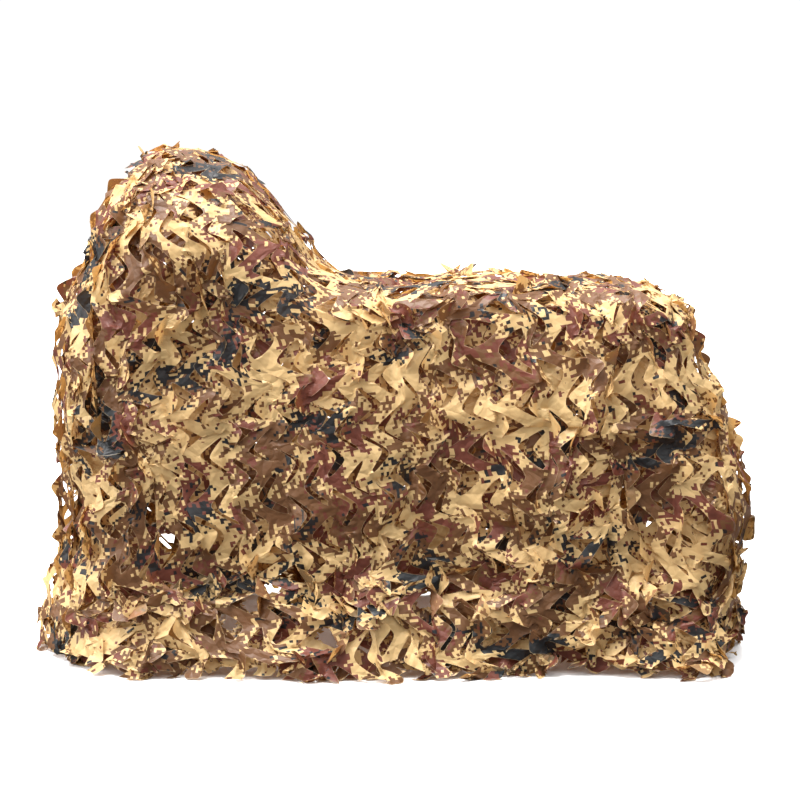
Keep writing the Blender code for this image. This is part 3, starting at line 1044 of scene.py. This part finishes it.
def cloth_finish(name, printed, creased):
    """Coated polyester: printed face, plain back with a golden tint that partly paints the glow of
    light through the leaves, pale cut edge partly painted as a highlight, light through the leaf.
    """
    material = bpy.data.materials.new(name)
    material.use_nodes = True
    tree = material.node_tree
    shader = tree.nodes["Principled BSDF"]
    place = add_node(tree, "ShaderNodeUVMap", uv_map="flat_cloth")
    inks = add_node(tree, "ShaderNodeGroup", node_tree=printed)
    inks.node.inputs["Square"].default_value = PRINT_SQUARE
    tree.links.new(place, inks.node.inputs["Place"])

    # the print shows only faintly on the back, whose golden tint is partly painted glow of light
    # passing through and between the leaves
    back = blend(tree, 0.30, inks, BACK_WITH_PAINTED_GLOW)
    facing = add_node(tree, "ShaderNodeNewGeometry", output="Backfacing")
    cloth = blend(tree, facing, inks, back)
    # a pale line along the cut edges, partly the edge's own colour and partly a painted highlight
    # on its rim
    edge = add_node(tree, "ShaderNodeAttribute", output="Fac", attribute_name="cut_edge")
    near = add_node(tree, "ShaderNodeMapRange", {
        "Value": edge, "From Min": 0.78, "From Max": 0.98, "To Max": 0.5,
    })
    cloth = blend(tree, near, cloth, PALE_EDGE_AND_PAINTED_HIGHLIGHT)
    tree.links.new(cloth, shader.inputs["Base Color"])
    shader.inputs["Roughness"].default_value = 0.42
    shader.inputs["Specular IOR Level"].default_value = 0.30

    creases = add_node(tree, "ShaderNodeGroup", node_tree=creased)
    tree.links.new(place, creases.node.inputs["Place"])
    bump = add_node(tree, "ShaderNodeBump", {"Strength": 1.0, "Distance": 0.004, "Height": creases})
    tree.links.new(bump, shader.inputs["Normal"])

    # dark inks let less light through
    warm = blend(tree, 1, blend(tree, 0.15, cloth, GLOW_COLOUR), GLOW_WARMTH, "MULTIPLY")
    glow = add_node(tree, "ShaderNodeBsdfTranslucent", {"Color": warm, "Normal": bump})
    both = add_node(tree, "ShaderNodeMixShader", {0: GLOW_SHARE, 1: shader.outputs[0], 2: glow})
    tree.links.new(both, tree.nodes["Material Output"].inputs["Surface"])
    return material


# ---- Making ----

def make_net():
    """The outer cloth in its two pieces, and the cloth beneath it."""
    drape = Drape(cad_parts["net_cloth"])
    finish = cloth_finish("desert_print_cloth", print_group(), crease_group())
    tree = cut_cloth_tree()

    outer = CutCloth(
        drape, tree, across=8, along=20, stretch=(1.20, 0.94), shift=(0.0, -0.02), seed=11,
        slack=1.0)
    points = outer.settle(
        offset=0.004, stand=1.0, rounds=100, lumpy=1.0, parting=True)
    corner = outer.cells[:, 0]
    in_front = outer.q[corner] < drape.length_at(outer.p[corner]) * FRONT_SHARE
    front = cloth_object("net_front", outer, points, in_front)
    back = cloth_object("net_back", outer, points, ~in_front)

    second = CutCloth(
        drape, tree, across=5, along=12, stretch=(0.96, 0.95), shift=(0.021, 0.033), seed=23,
        slack=0.25, opened=outer.opened)
    points = second.settle(
        offset=-0.014, stand=0.05, rounds=80, lumpy=0.5, parting=False)
    under = cloth_object("net_under", second, points, np.ones(len(second.cells), bool))
    for piece in (front, back, under):
        piece.data.materials.append(finish)
    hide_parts("net_cloth")


def make_floor():
    """A pale floor that looks white and throws little light back up."""
    mesh = bpy.data.meshes.new("floor")
    mesh.from_pydata([(-14, -9, 0), (14, -9, 0), (14, 18, 0), (-14, 18, 0)], [], [(0, 1, 2, 3)])
    floor = bpy.data.objects.new("floor", mesh)
    bpy.context.scene.collection.objects.link(floor)
    paper = bpy.data.materials.new("white_floor")
    paper.use_nodes = True
    tree = paper.node_tree
    shader = tree.nodes["Principled BSDF"]
    seen = add_node(tree, "ShaderNodeLightPath", output="Is Camera Ray")
    white = blend(tree, seen, (0.08, 0.08, 0.08, 1), (0.92, 0.92, 0.92, 1))
    tree.links.new(white, shader.inputs["Base Color"])
    shader.inputs["Roughness"].default_value = 0.9
    shader.inputs["Specular IOR Level"].default_value = 0.2
    mesh.materials.append(paper)


def make_light():
    """A studio: a white surround, brightest overhead, a broad lamp above and one from the left."""
    world = bpy.data.worlds.new("studio")
    bpy.context.scene.world = world
    world.use_nodes = True
    tree = world.node_tree
    look = add_node(tree, "ShaderNodeTexCoord", output="Generated")
    height = add_node(tree, "ShaderNodeSeparateXYZ", {0: look}, "Z")
    ramp = add_node(tree, "ShaderNodeMapRange", {
        "Value": height, "From Min": 0.05, "From Max": 0.85, "To Min": 0.16, "To Max": 2.7,
    }, interpolation_type="SMOOTHSTEP")
    seen = add_node(tree, "ShaderNodeLightPath", output="Is Camera Ray")
    strength = add_node(tree, "ShaderNodeMix", {"Factor": seen, 2: ramp, 3: 1.05})
    sky = tree.nodes["Background"]
    tree.links.new(strength, sky.inputs["Strength"])
    sky.inputs["Color"].default_value = (1, 1, 1, 1)

    lamps = (
        # name, direction it comes from, strength, angle
        ("overhead", (-0.22, -0.04, 0.975), 7.5, 38),
        ("left_wall", (-0.95, -0.25, 0.30), 2.7, 40),
    )
    for name, way, strength, angle in lamps:
        lamp = bpy.data.lights.new(name, "SUN")
        lamp.energy = strength
        lamp.angle = math.radians(angle)
        body = bpy.data.objects.new(name, lamp)
        body.location = Vector(way) * 4
        body.rotation_euler = Vector(way).to_track_quat("Z", "Y").to_euler()
        bpy.context.scene.collection.objects.link(body)


def make_camera():
    """A camera level with the net's top, looking a little down."""
    camera = bpy.data.cameras.new("camera")
    camera.lens = LENS
    camera.sensor_width = SENSOR
    body = bpy.data.objects.new("camera", camera)
    body.location = EYE
    body.rotation_euler = (math.radians(90 - LOOK_DOWN), 0, 0)
    bpy.context.scene.collection.objects.link(body)
    bpy.context.scene.camera = body


bpy.context.scene.view_settings.view_transform = "Standard"
make_camera()
make_floor()
make_light()
make_net()
bpy.context.view_layer.update()
